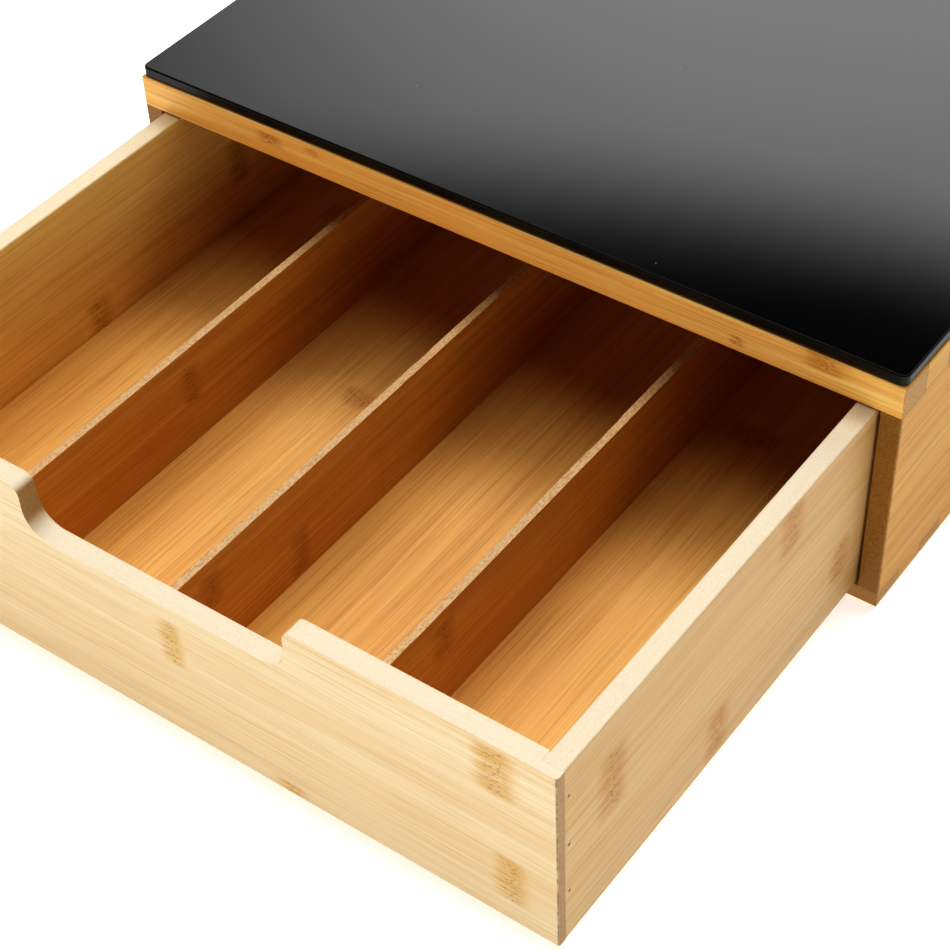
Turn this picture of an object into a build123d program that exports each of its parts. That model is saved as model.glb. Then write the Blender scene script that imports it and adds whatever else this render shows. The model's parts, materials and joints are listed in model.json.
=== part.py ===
"""Tea bag drawer box: a finger-jointed bamboo cabinet with a glass top and one four-bay drawer.

Millimetres, +Z up, the front towards -Y, +X to the right of someone who faces the front.
The origin is the centre of the cabinet's footprint, on the surface that it stands on.
The drawer is drawn pulled out by DRAWER_OPENING.
"""
import os

from build123d import *

# ---------------------------------------------------------------- driving dimensions
# Cabinet
CABINET_WIDTH = 330.0
CABINET_DEPTH = 295.0
CABINET_HEIGHT = 104.0  # up to the top board's upper face, without the glass
TOP_BOARD_THICKNESS = 12.8
BOTTOM_BOARD_THICKNESS = 8.0
SIDE_PANEL_THICKNESS = 8.0
BACK_PANEL_THICKNESS = 8.0
FINGERS_PER_EDGE = 19  # odd, so that the boards have the finger at both ends
CABINET_ARRIS_RADIUS = 0.8
CABINET_FOOT_RADIUS = 3.0  # the rounder edges that the cabinet stands on

# Glass top and the pads that hold it
GLASS_THICKNESS = 4.0
GLASS_INSET = 0.5  # from the cabinet's outer faces
GLASS_CORNER_RADIUS = 3.0
GLASS_CHAMFER = 0.5
PAD_THICKNESS = 0.4
PAD_DIAMETER = 14.0
PAD_EDGE_DISTANCE = 24.0  # from the glass's edges to the pads' centres
PAD_COLUMNS = 3
PAD_ROWS = 2

# Drawer
DRAWER_PANEL_THICKNESS = 7.8
DRAWER_SIDE_CLEARANCE = 1.3  # on each side
DRAWER_UNDER_CLEARANCE = 0.3
DRAWER_OVER_CLEARANCE = 0.7
DRAWER_REAR_CLEARANCE = 2.0  # to the back panel when the drawer is shut flush
DRAWER_OPENING = 185.0
DRAWER_RIM_RADIUS = 0.8
DRAWER_CORNER_RADIUS = 1.0
DRAWER_FOOT_RADIUS = 0.5
RABBET_LIP = 3.5  # how much of the front covers the end of a side
NOTCH_WIDTH = 110.0
NOTCH_DEPTH = 19.7
NOTCH_FLOOR_RADIUS = 10.0
NOTCH_RIM_RADIUS = 2.5

# Drawer floor and dividers
FLOOR_THICKNESS = 4.0
FLOOR_TOP_HEIGHT = 17.4  # above the drawer's lower edge
FLOOR_GROOVE_DEPTH = 3.0
DIVIDER_THICKNESS = 3.4
DIVIDER_BELOW_NOTCH = 2.7  # from the notch's lowest line down to the dividers' upper edges
DIVIDER_DADO_DEPTH = 2.0
OUTER_BAY_REDUCTION = 2.4  # how much narrower each outer bay is than a middle one
DIVIDER_NAMES = ("left_divider", "middle_divider", "right_divider")
PANEL_END_CLEARANCE = 0.2  # at the ends of the floor and the dividers in their grooves

# Brads in the drawer's corners
BRAD_DIAMETER = 1.2
BRAD_LENGTH = 15.0
BRAD_RECESS = 0.4
BRADS_PER_CORNER = 3
BRAD_ABOVE_FLOOR = 5.6  # the lowest brad, above the floor's upper face
BRAD_BELOW_RIM = 13.2  # the highest brad, below the drawer's rim

# ---------------------------------------------------------------- derived sizes
top_board_z = CABINET_HEIGHT - TOP_BOARD_THICKNESS
finger_length = CABINET_DEPTH / FINGERS_PER_EDGE
side_finger_count = (FINGERS_PER_EDGE - 1) // 2
board_finger_count = (FINGERS_PER_EDGE + 1) // 2
bay_width = CABINET_WIDTH - 2 * SIDE_PANEL_THICKNESS
bay_height = top_board_z - BOTTOM_BOARD_THICKNESS
side_panel_centre_x = (CABINET_WIDTH - SIDE_PANEL_THICKNESS) / 2

glass_width = CABINET_WIDTH - 2 * GLASS_INSET
glass_depth = CABINET_DEPTH - 2 * GLASS_INSET

drawer_width = bay_width - 2 * DRAWER_SIDE_CLEARANCE
drawer_length = CABINET_DEPTH - BACK_PANEL_THICKNESS - DRAWER_REAR_CLEARANCE
drawer_height = bay_height - DRAWER_UNDER_CLEARANCE - DRAWER_OVER_CLEARANCE
drawer_z = BOTTOM_BOARD_THICKNESS + DRAWER_UNDER_CLEARANCE
drawer_rim_z = drawer_z + drawer_height
drawer_front_y = -CABINET_DEPTH / 2 - DRAWER_OPENING
drawer_centre_y = drawer_front_y + drawer_length / 2
drawer_back_y = drawer_front_y + drawer_length
front_wall_middle_y = drawer_front_y + DRAWER_PANEL_THICKNESS / 2
inner_width = drawer_width - 2 * DRAWER_PANEL_THICKNESS
inner_length = drawer_length - 2 * DRAWER_PANEL_THICKNESS
drawer_side_centre_x = (drawer_width - DRAWER_PANEL_THICKNESS) / 2
drawer_side_length = drawer_length - 2 * RABBET_LIP

floor_top_z = drawer_z + FLOOR_TOP_HEIGHT
floor_middle_z = floor_top_z - FLOOR_THICKNESS / 2
notch_floor_z = drawer_rim_z - NOTCH_DEPTH
divider_height = notch_floor_z - DIVIDER_BELOW_NOTCH - floor_top_z
divider_middle_z = floor_top_z + divider_height / 2
bays_width = inner_width - len(DIVIDER_NAMES) * DIVIDER_THICKNESS
middle_bay_width = (bays_width + 2 * OUTER_BAY_REDUCTION) / (len(DIVIDER_NAMES) + 1)
divider_pitch = middle_bay_width + DIVIDER_THICKNESS

# Each brad goes through a side into the tongue of the front or the back wall.
tongue_middle = (RABBET_LIP + DRAWER_PANEL_THICKNESS) / 2
lowest_brad_z = floor_top_z + BRAD_ABOVE_FLOOR
highest_brad_z = drawer_rim_z - BRAD_BELOW_RIM
brad_pitch = (highest_brad_z - lowest_brad_z) / (BRADS_PER_CORNER - 1)
brad_reach = BRAD_RECESS + BRAD_LENGTH

os.makedirs("parts", exist_ok=True)


def finish(builder, name):
    """Label a finished piece and write it under its name."""
    builder.part.label = name
    export_step(builder.part, f"parts/{name}.step")


def brad_points(distance_x, brad_y):
    """Return the places of one wall's brads, in both of its corners, at a distance from the middle."""
    return [
        (direction * distance_x, brad_y, lowest_brad_z + index * brad_pitch)
        for direction in (-1, 1)
        for index in range(BRADS_PER_CORNER)
    ]


def is_on_drawer_outside(edge):
    """Tell whether an edge of the drawer's ring belongs to its outer faces."""
    centre = edge.center()
    return (
        abs(centre.X) > drawer_width / 2 - DRAWER_PANEL_THICKNESS / 2
        or abs(centre.Y - drawer_centre_y) > drawer_length / 2 - DRAWER_PANEL_THICKNESS / 2
    )


# ---------------------------------------------------------------- cabinet
# The closed outer form with its eased edges, which trims every board that reaches it.
with BuildPart() as cabinet_form:
    Box(CABINET_WIDTH, CABINET_DEPTH, CABINET_HEIGHT, align=(Align.CENTER, Align.CENTER, Align.MIN))
    fillet(cabinet_form.edges().filter_by(Axis.Z), CABINET_ARRIS_RADIUS)
    fillet(cabinet_form.edges().group_by(Axis.Z)[-1], CABINET_ARRIS_RADIUS)
    fillet(cabinet_form.edges().group_by(Axis.Z)[0], CABINET_FOOT_RADIUS)

# Top and bottom boards: full slabs with a gap at each edge for every finger of a side panel.
for board_name, board_z, board_thickness in (
    ("top_board", top_board_z, TOP_BOARD_THICKNESS),
    ("bottom_board", 0.0, BOTTOM_BOARD_THICKNESS),
):
    with BuildPart() as board:
        with BuildSketch(Plane.XY.offset(board_z)):
            Rectangle(CABINET_WIDTH, CABINET_DEPTH)
            with GridLocations(2 * side_panel_centre_x, 2 * finger_length, 2, side_finger_count):
                Rectangle(SIDE_PANEL_THICKNESS, finger_length, mode=Mode.SUBTRACT)
        extrude(amount=board_thickness)
        add(cabinet_form.part, mode=Mode.INTERSECT)
    finish(board, board_name)

# Side panels: full height, with a gap for every finger of the two boards.
for side_name, side_direction in (("left", -1), ("right", 1)):
    with BuildPart() as side_panel:
        with BuildSketch(Plane.YZ.offset(side_direction * side_panel_centre_x)):
            Rectangle(CABINET_DEPTH, CABINET_HEIGHT, align=(Align.CENTER, Align.MIN))
            with Locations((0, CABINET_HEIGHT - TOP_BOARD_THICKNESS / 2)):
                with GridLocations(2 * finger_length, TOP_BOARD_THICKNESS, board_finger_count, 1):
                    Rectangle(finger_length, TOP_BOARD_THICKNESS, mode=Mode.SUBTRACT)
            with Locations((0, BOTTOM_BOARD_THICKNESS / 2)):
                with GridLocations(2 * finger_length, BOTTOM_BOARD_THICKNESS, board_finger_count, 1):
                    Rectangle(finger_length, BOTTOM_BOARD_THICKNESS, mode=Mode.SUBTRACT)
        extrude(amount=SIDE_PANEL_THICKNESS / 2, both=True)
        add(cabinet_form.part, mode=Mode.INTERSECT)
    finish(side_panel, f"{side_name}_side_panel")

# Back panel: glued in between the boards and the sides, flush with their rear edges.
with BuildPart() as back_panel:
    with BuildSketch(Plane.XZ.offset(-CABINET_DEPTH / 2)):
        with Locations((0, BOTTOM_BOARD_THICKNESS)):
            Rectangle(bay_width, bay_height, align=(Align.CENTER, Align.MIN))
    extrude(amount=BACK_PANEL_THICKNESS)
finish(back_panel, "back_panel")

# Adhesive pads between the top board and the glass.
with BuildPart() as glass_pads:
    with BuildSketch(Plane.XY.offset(CABINET_HEIGHT)):
        with GridLocations(
            (glass_width - 2 * PAD_EDGE_DISTANCE) / (PAD_COLUMNS - 1),
            (glass_depth - 2 * PAD_EDGE_DISTANCE) / (PAD_ROWS - 1),
            PAD_COLUMNS,
            PAD_ROWS,
        ):
            Circle(PAD_DIAMETER / 2)
    extrude(amount=PAD_THICKNESS)
finish(glass_pads, "glass_adhesive_pads")

# Glass top: rounded corners and ground arrises.
with BuildPart() as glass_top:
    with BuildSketch(Plane.XY.offset(CABINET_HEIGHT + PAD_THICKNESS)):
        RectangleRounded(glass_width, glass_depth, GLASS_CORNER_RADIUS)
    extrude(amount=GLASS_THICKNESS)
    chamfer(glass_top.edges().group_by(Axis.Z)[-1], GLASS_CHAMFER)
    chamfer(glass_top.edges().group_by(Axis.Z)[0], GLASS_CHAMFER)
finish(glass_top, "glass_top")

# ---------------------------------------------------------------- drawer
# The four walls as one ring with the finger notch and eased edges, which trims each wall.
with BuildPart() as drawer_form:
    with BuildSketch(Plane.XY.offset(drawer_z)):
        with Locations((0, drawer_centre_y)):
            Rectangle(drawer_width, drawer_length)
            Rectangle(inner_width, inner_length, mode=Mode.SUBTRACT)
    extrude(amount=drawer_height)
    with BuildSketch(Plane.XZ.offset(-drawer_front_y)) as notch:
        with Locations((0, drawer_rim_z)):
            Rectangle(NOTCH_WIDTH, NOTCH_DEPTH, align=(Align.CENTER, Align.MAX))
            Rectangle(
                NOTCH_WIDTH + 4 * NOTCH_RIM_RADIUS,
                2 * NOTCH_RIM_RADIUS,
                align=(Align.CENTER, Align.MIN),
            )
        at_rim = notch.vertices().filter_by(lambda vertex: abs(vertex.Y - drawer_rim_z) < NOTCH_RIM_RADIUS)
        fillet(at_rim.sort_by(lambda vertex: abs(vertex.X))[:2], NOTCH_RIM_RADIUS)
        fillet(notch.vertices().group_by(Axis.Y)[0], NOTCH_FLOOR_RADIUS)
    extrude(amount=-DRAWER_PANEL_THICKNESS, mode=Mode.SUBTRACT)
    uprights = drawer_form.edges().filter_by(Axis.Z).group_by(lambda edge: abs(edge.center().X))
    fillet(uprights[-1], DRAWER_CORNER_RADIUS)
    above_notch_floor = drawer_form.edges().filter_by(
        lambda edge: edge.center().Z > notch_floor_z - DRAWER_RIM_RADIUS
    )
    # Without the short edges across the notch's walls, these run along the rim and round the notch.
    rim_edges = above_notch_floor.filter_by(
        lambda edge: abs(edge.center().Y - front_wall_middle_y) > DRAWER_RIM_RADIUS
    )
    fillet(rim_edges, DRAWER_RIM_RADIUS)
    lowest_edges = drawer_form.edges().group_by(Axis.Z)[0]
    fillet(lowest_edges.filter_by(is_on_drawer_outside), DRAWER_FOOT_RADIUS)

# Front and back walls: the full-width lip covers the ends of the sides, and the tongue lies
# between the sides. Both have a groove for the floor, a dado for each divider and brad holes.
for wall_name, wall_outer_y, inward in (
    ("drawer_front", drawer_front_y, 1),
    ("drawer_back", drawer_back_y, -1),
):
    wall_inner_y = wall_outer_y + inward * DRAWER_PANEL_THICKNESS
    with BuildPart() as wall:
        with BuildSketch(Plane.XY.offset(drawer_z)):
            with Locations((0, wall_outer_y + inward * RABBET_LIP / 2)):
                Rectangle(drawer_width, RABBET_LIP)
            with Locations((0, wall_outer_y + inward * DRAWER_PANEL_THICKNESS / 2)):
                Rectangle(inner_width, DRAWER_PANEL_THICKNESS)
        extrude(amount=drawer_height)
        add(drawer_form.part, mode=Mode.INTERSECT)
        with Locations((0, wall_inner_y - inward * FLOOR_GROOVE_DEPTH / 2, floor_middle_z)):
            Box(inner_width, FLOOR_GROOVE_DEPTH, FLOOR_THICKNESS, mode=Mode.SUBTRACT)
        with Locations((0, wall_inner_y - inward * DIVIDER_DADO_DEPTH / 2, divider_middle_z)):
            with GridLocations(divider_pitch, DIVIDER_DADO_DEPTH, len(DIVIDER_NAMES), 1):
                Box(DIVIDER_THICKNESS, DIVIDER_DADO_DEPTH, divider_height, mode=Mode.SUBTRACT)
        with Locations(*brad_points(drawer_width / 2, wall_outer_y + inward * tongue_middle)):
            Cylinder(BRAD_DIAMETER / 2, 2 * brad_reach, rotation=(0, 90, 0), mode=Mode.SUBTRACT)
    finish(wall, wall_name)

    # This wall's brads, driven in from the sides with their heads just under the surface.
    brad_middle_x = drawer_width / 2 - BRAD_RECESS - BRAD_LENGTH / 2
    with BuildPart() as brads:
        with Locations(*brad_points(brad_middle_x, wall_outer_y + inward * tongue_middle)):
            Cylinder(BRAD_DIAMETER / 2, BRAD_LENGTH, rotation=(0, 90, 0))
    finish(brads, f"{wall_name}_brads")

# Side walls: between the two lips, with a through groove for the floor and the brad holes.
for side_name, side_direction in (("left", -1), ("right", 1)):
    groove_middle_x = side_direction * (inner_width + FLOOR_GROOVE_DEPTH) / 2
    with BuildPart() as drawer_side:
        with BuildSketch(Plane.XY.offset(drawer_z)):
            with Locations((side_direction * drawer_side_centre_x, drawer_centre_y)):
                Rectangle(DRAWER_PANEL_THICKNESS, drawer_side_length)
        extrude(amount=drawer_height)
        add(drawer_form.part, mode=Mode.INTERSECT)
        with Locations((groove_middle_x, drawer_centre_y, floor_middle_z)):
            Box(FLOOR_GROOVE_DEPTH, drawer_side_length, FLOOR_THICKNESS, mode=Mode.SUBTRACT)
        for brad_y in (drawer_front_y + tongue_middle, drawer_back_y - tongue_middle):
            with Locations(*brad_points(drawer_width / 2, brad_y)):
                Cylinder(BRAD_DIAMETER / 2, 2 * brad_reach, rotation=(0, 90, 0), mode=Mode.SUBTRACT)
    finish(drawer_side, f"drawer_{side_name}_side")

# Floor: a thin panel held in the grooves of all four walls.
floor_edge_reach = FLOOR_GROOVE_DEPTH - PANEL_END_CLEARANCE
with BuildPart() as drawer_floor:
    with Locations((0, drawer_centre_y, floor_middle_z)):
        Box(inner_width + 2 * floor_edge_reach, inner_length + 2 * floor_edge_reach, FLOOR_THICKNESS)
finish(drawer_floor, "drawer_floor")

# Dividers: thin boards that stand on the floor, their ends in the dadoes of the front and back.
divider_length = inner_length + 2 * (DIVIDER_DADO_DEPTH - PANEL_END_CLEARANCE)
for divider_index, divider_name in enumerate(DIVIDER_NAMES):
    divider_x = (divider_index - (len(DIVIDER_NAMES) - 1) / 2) * divider_pitch
    with BuildPart() as divider:
        with Locations((divider_x, drawer_centre_y, divider_middle_z)):
            Box(DIVIDER_THICKNESS, divider_length, divider_height)
    finish(divider, divider_name)
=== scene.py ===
"""Looks of a tea bag drawer box: a bamboo cabinet with a black glass top and one four-bay drawer.

Metres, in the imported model's frame: +Z up, the front towards -Y, the origin under the cabinet's middle.
Every wooden piece is a board that is drawn flat, cut into cells and pulled up to its thickness, so that
its fingers, rabbets, grooves and notch are real, and each has bamboo whose fibres run its own way.
"""

import json
import logging
import math
from collections.abc import Callable, Iterable
from dataclasses import dataclass, replace
from enum import Enum
from typing import Any

import bmesh
import bpy
from mathutils import Matrix, Vector, noise

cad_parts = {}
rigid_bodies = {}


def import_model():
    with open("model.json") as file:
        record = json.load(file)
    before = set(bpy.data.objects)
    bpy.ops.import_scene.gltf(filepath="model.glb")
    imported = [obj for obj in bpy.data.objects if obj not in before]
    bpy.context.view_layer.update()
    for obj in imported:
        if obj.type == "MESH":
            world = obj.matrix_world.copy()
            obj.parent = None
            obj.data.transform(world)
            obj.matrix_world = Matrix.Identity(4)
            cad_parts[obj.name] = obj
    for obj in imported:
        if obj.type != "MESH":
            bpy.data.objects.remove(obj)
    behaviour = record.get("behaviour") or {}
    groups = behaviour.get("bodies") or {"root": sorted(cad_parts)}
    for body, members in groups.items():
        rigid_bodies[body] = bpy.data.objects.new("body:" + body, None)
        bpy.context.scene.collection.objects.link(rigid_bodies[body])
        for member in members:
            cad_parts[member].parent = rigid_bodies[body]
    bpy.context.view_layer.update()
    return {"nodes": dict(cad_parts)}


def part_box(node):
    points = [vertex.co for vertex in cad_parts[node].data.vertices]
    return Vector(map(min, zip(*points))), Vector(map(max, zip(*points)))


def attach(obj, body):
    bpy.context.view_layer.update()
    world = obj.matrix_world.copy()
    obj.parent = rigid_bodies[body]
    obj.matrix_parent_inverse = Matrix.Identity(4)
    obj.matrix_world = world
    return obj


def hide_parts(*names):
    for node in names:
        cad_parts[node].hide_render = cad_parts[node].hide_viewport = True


MM = 0.001
NEAR = 0.02 * MM  # two places closer than this are the same place
SHARP = 0.35  # edges with a smaller angle than this, in radians, count as flat
IN_LINE = math.radians(0.3)  # faces closer in direction than this are one face
SMOOTH = math.radians(35)  # edges with a smaller angle than this are shaded smooth
WHITE = (1.0, 1.0, 1.0, 1.0)
LOG = logging.getLogger("tea_box")

Piece = bpy.types.Object
Tree = bpy.types.NodeTree
Node = bpy.types.Node
Socket = bpy.types.NodeSocket
Place = Callable[[Vector], bool]


class Axis(Enum):
    """One of the frame's three axes."""

    X = 0
    Y = 1
    Z = 2

    @property
    def direction(self) -> Vector:
        """The axis as a unit vector."""
        return Vector([1.0 if index == self.value else 0.0 for index in range(3)])

    def others(self) -> tuple["Axis", "Axis"]:
        """The other two axes, in order."""
        first, second = (axis for axis in Axis if axis is not self)
        return first, second


def linear(hex_colour: str) -> tuple[float, float, float, float]:
    """Turn an sRGB hex value into a linear colour.

    Args:
        hex_colour: six hexadecimal digits, such as "D9A566".

    Returns:
        Red, green, blue and an alpha of 1.
    """
    parts = [int(hex_colour[at : at + 2], 16) / 255 for at in (0, 2, 4)]
    red, green, blue = (
        part / 12.92 if part <= 0.04045 else ((part + 0.055) / 1.055) ** 2.4 for part in parts
    )
    return red, green, blue, 1.0


def feed(tree: Tree, node: Node, inputs: dict[str | int, Any]) -> None:
    """Give a node's inputs their values and links.

    Args:
        tree: the node tree.
        node: the node.
        inputs: what each input gets, by the input's name or number: a value, a socket that feeds it, or
            a node, whose first output in use feeds it.
    """
    for key, given in inputs.items():
        if isinstance(given, Node):
            given = next(output for output in given.outputs if output.enabled)
        if isinstance(given, Socket):
            tree.links.new(given, node.inputs[key])
        else:
            node.inputs[key].default_value = given


def add(tree: Tree, kind: str, inputs: dict[str | int, Any], **settings: Any) -> Node:
    """Add a node with its settings and links.

    Args:
        tree: the node tree that gets the node.
        kind: the node's type name, without the ShaderNode that it starts with.
        inputs: what its inputs get, as feed takes it.
        **settings: the node's own properties.

    Returns:
        The new node.
    """
    node = tree.nodes.new(f"ShaderNode{kind}")
    for name, value in settings.items():
        setattr(node, name, value)
    feed(tree, node, inputs)
    return node


def select_only(*pieces: Piece) -> None:
    """Select these objects and nothing else, and make the first of them the active one."""
    bpy.ops.object.select_all(action="DESELECT")
    for piece in pieces:
        piece.select_set(True)
    if pieces:
        bpy.context.view_layer.objects.active = pieces[0]


# ---------------------------------------------------------------------------------------------- modelling


@dataclass
class Board:
    """A board that is drawn flat as a sheet of cells and then pulled up to its thickness.

    Attributes:
        name: the piece's name.
        normal: the axis that the thickness runs along.
        level: where the sheet lies on that axis.
        side: +1 or -1, the way in which it is pulled.
        lowest: the sheet's lowest corner on the two other axes, in order.
        highest: its highest corner.
    """

    name: str
    normal: Axis
    level: float
    side: int
    lowest: tuple[float, float]
    highest: tuple[float, float]

    def __post_init__(self) -> None:
        """Add the sheet at its size and place, and stay in edit mode."""
        self.front = self.level
        turns = {Axis.X: (0.0, math.pi / 2, 0.0), Axis.Y: (math.pi / 2, 0.0, 0.0), Axis.Z: (0.0, 0.0, 0.0)}
        select_only()
        bpy.ops.mesh.primitive_plane_add(size=1.0, rotation=turns[self.normal])
        self.piece = bpy.context.object
        self.piece.name = self.piece.data.name = self.name
        bpy.ops.object.transform_apply(location=False, rotation=True, scale=False)
        size, middle = Vector((1.0, 1.0, 1.0)), Vector()
        middle[self.normal.value] = self.level
        for axis, low, high in zip(self.normal.others(), self.lowest, self.highest):
            size[axis.value] = high - low
            middle[axis.value] = (low + high) / 2
        self.piece.scale = size
        self.piece.location = middle
        bpy.ops.object.transform_apply(location=True, rotation=False, scale=True)
        bpy.ops.object.mode_set(mode="EDIT")

    @classmethod
    def from_box(cls, name: str, node: str, normal: Axis, side: int = 1) -> "Board":
        """Start a board on the lower or upper face of a CAD node's box.

        Args:
            name: the piece's name.
            node: the CAD node whose box it fills.
            normal: the axis that the thickness runs along.
            side: +1 to pull it up from the lower face, -1 to pull it down from the upper one.

        Returns:
            The board, still flat.
        """
        low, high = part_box(node)
        level = (low if side > 0 else high)[normal.value]
        first, second = (axis.value for axis in normal.others())
        return cls(name, normal, level, side, (low[first], low[second]), (high[first], high[second]))

    def score(self, axis: Axis, places: Iterable[float]) -> None:
        """Cut lines across the whole sheet.

        Args:
            axis: the axis that the cuts stand across.
            places: where they lie on it.
        """
        for place in places:
            bpy.ops.mesh.select_all(action="SELECT")
            bpy.ops.mesh.bisect(plane_co=axis.direction * place, plane_no=axis.direction)

    def pick(self, kind: str, where: Place, sharp: bool = False) -> int:
        """Select vertices, edges or faces by their place.

        Args:
            kind: VERT, EDGE or FACE.
            where: tells from an element's middle whether it is wanted.
            sharp: leaves out edges whose two faces are nearly in line.

        Returns:
            How many are selected.
        """
        bpy.ops.mesh.select_mode(type=kind)
        bpy.ops.mesh.select_all(action="DESELECT")
        mesh = bmesh.from_edit_mesh(self.piece.data)
        count = 0
        if kind == "VERT":
            found = [(vertex, vertex.co) for vertex in mesh.verts]
        elif kind == "EDGE":
            found = [(edge, (edge.verts[0].co + edge.verts[1].co) / 2) for edge in mesh.edges]
            if sharp:
                found = [each for each in found if each[0].is_manifold and each[0].calc_face_angle() > SHARP]
        else:
            found = [(face, face.calc_center_median()) for face in mesh.faces]
        for element, at in found:
            if where(at):
                element.select_set(True)
                count += 1
        mesh.select_flush_mode()
        bmesh.update_edit_mesh(self.piece.data)
        return count

    def trim(self, where: Place) -> None:
        """Delete the cells of the sheet whose middles are wanted."""
        self.pick("FACE", where)
        bpy.ops.mesh.delete(type="FACE")

    def weld(self) -> None:
        """Join cells that lie in one plane."""
        bpy.ops.mesh.select_all(action="SELECT")
        bpy.ops.mesh.dissolve_limited(angle_limit=IN_LINE)

    def round_corners(self, radius: float, where: Place, segments: int = 8) -> None:
        """Round corners of the sheet's outline, before it is cut into cells again."""
        if self.pick("VERT", where):
            bpy.ops.mesh.bevel(offset=radius, segments=segments, affect="VERTICES")

    def pull(self, depth: float, where: Place = lambda at: True) -> None:
        """Pull the front up.

        Args:
            depth: how far.
            where: which of its cells go along; the others stay behind.
        """
        axis = self.normal.value
        self.pick("FACE", lambda at: abs(at[axis] - self.front) < NEAR and where(at))
        step = self.normal.direction * depth * self.side
        bpy.ops.mesh.extrude_region_move(TRANSFORM_OT_translate={"value": step})
        self.front += depth * self.side

    def ease(self, radius: float, where: Place, segments: int = 4) -> None:
        """Round the sharp edges whose middles are wanted."""
        if self.pick("EDGE", where, sharp=True):
            bpy.ops.mesh.bevel(offset=radius, segments=segments, affect="EDGES", clamp_overlap=True)

    def finish(self, break_edge: float = 0.12 * MM) -> Piece:
        """Close the modelling: merge, turn the faces outwards and break every sharp edge a little.

        Args:
            break_edge: how wide the last, small bevel is. It makes the seams between boards show.

        Returns:
            The finished piece, in object mode.
        """
        bpy.ops.mesh.select_mode(type="VERT")
        bpy.ops.mesh.select_all(action="SELECT")
        bpy.ops.mesh.remove_doubles(threshold=0.001 * MM)
        bpy.ops.mesh.dissolve_limited(angle_limit=IN_LINE)
        bpy.ops.mesh.select_all(action="SELECT")
        bpy.ops.mesh.normals_make_consistent(inside=False)
        bpy.ops.object.mode_set(mode="OBJECT")
        if break_edge:
            bevel = self.piece.modifiers.new("broken edges", "BEVEL")
            bevel.width = break_edge
            bevel.segments = 2
            bevel.limit_method = "ANGLE"
            bevel.angle_limit = math.radians(40)
            bpy.ops.object.modifier_apply(modifier=bevel.name)
        smooth_and_flatten(self.piece)
        return self.piece


def smooth_and_flatten(piece: Piece) -> None:
    """Shade the rounded edges smooth and keep the large faces truly flat.

    Args:
        piece: the active object.
    """
    bpy.ops.object.shade_smooth_by_angle(angle=SMOOTH)
    weighted = piece.modifiers.new("flat faces", "WEIGHTED_NORMAL")
    weighted.keep_sharp = True
    weighted.weight = 100
    bpy.ops.object.modifier_apply(modifier=weighted.name)


# ---------------------------------------------------------------------------------------------- materials


@dataclass(frozen=True)
class NodeMark:
    """The ring of a bamboo cane, which crosses one strip as a brown, speckled patch.

    Attributes:
        along: its middle along the fibres, in the frame.
        across: its middle across them, in the frame.
        length: its size along the fibres.
        width: its size across them.
    """

    along: float
    across: float
    length: float = 10 * MM
    width: float = 22 * MM


def marks_at(*marks: tuple[float, ...]) -> tuple[NodeMark, ...]:
    """Make the rings of one board from their places and sizes in millimetres."""
    return tuple(NodeMark(*(value * MM for value in mark)) for mark in marks)


@dataclass(frozen=True)
class Grain:
    """How the strips lie in one board.

    Attributes:
        along: the axis that the fibres follow.
        across: the axis that the strips lie side by side on.
        edge: a place on that axis where two strips meet.
        seed: makes this board's fibres its own.
        strip: how wide a strip is.
        marks: the cane's rings in this board.
        cut_edge: the axis of the faces that show the board's sawn edge.
        tint: an sRGB hex colour that the board's colour is multiplied by; on the side panels of the case and
            on the drawer's right side it is painted shade, darker for faces that get less light.
        clean: how far to both sides of the middle, along the fibres, no arris is singed.
    """

    along: Axis
    across: Axis
    edge: float
    seed: float
    strip: float = 24 * MM
    marks: tuple[NodeMark, ...] = ()
    cut_edge: Axis | None = None
    tint: str = "FFFFFF"
    clean: float = 0.0


def new_material(name: str) -> tuple[bpy.types.Material, Tree, Node]:
    """Start a material, and give it with its node tree and its Principled shader."""
    material = bpy.data.materials.new(name)
    material.use_nodes = True
    return material, material.node_tree, material.node_tree.nodes["Principled BSDF"]


# The length and width of each pattern in the wood.
FIBRE_LENGTH = 60 * MM
STREAK = (190 * MM, 2.4 * MM)
CLOUD = (330 * MM, 11 * MM)
BUNDLE = (55 * MM, 1.1 * MM)
RING_RAG = (14 * MM, 1.1 * MM)
RING_SPECK = (2.0 * MM, 0.85 * MM)
SAW_SPECK = (1.4 * MM, 0.6 * MM)

WANDER_LENGTH = 80 * MM
WANDER = 2.4 * MM
GLUE_LINE = 0.25 * MM
STRIP_START = 0.7  # how far apart, in metres, the fibres of neighbouring strips may start
SINGE_GRIT = 2.3 * MM


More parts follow.
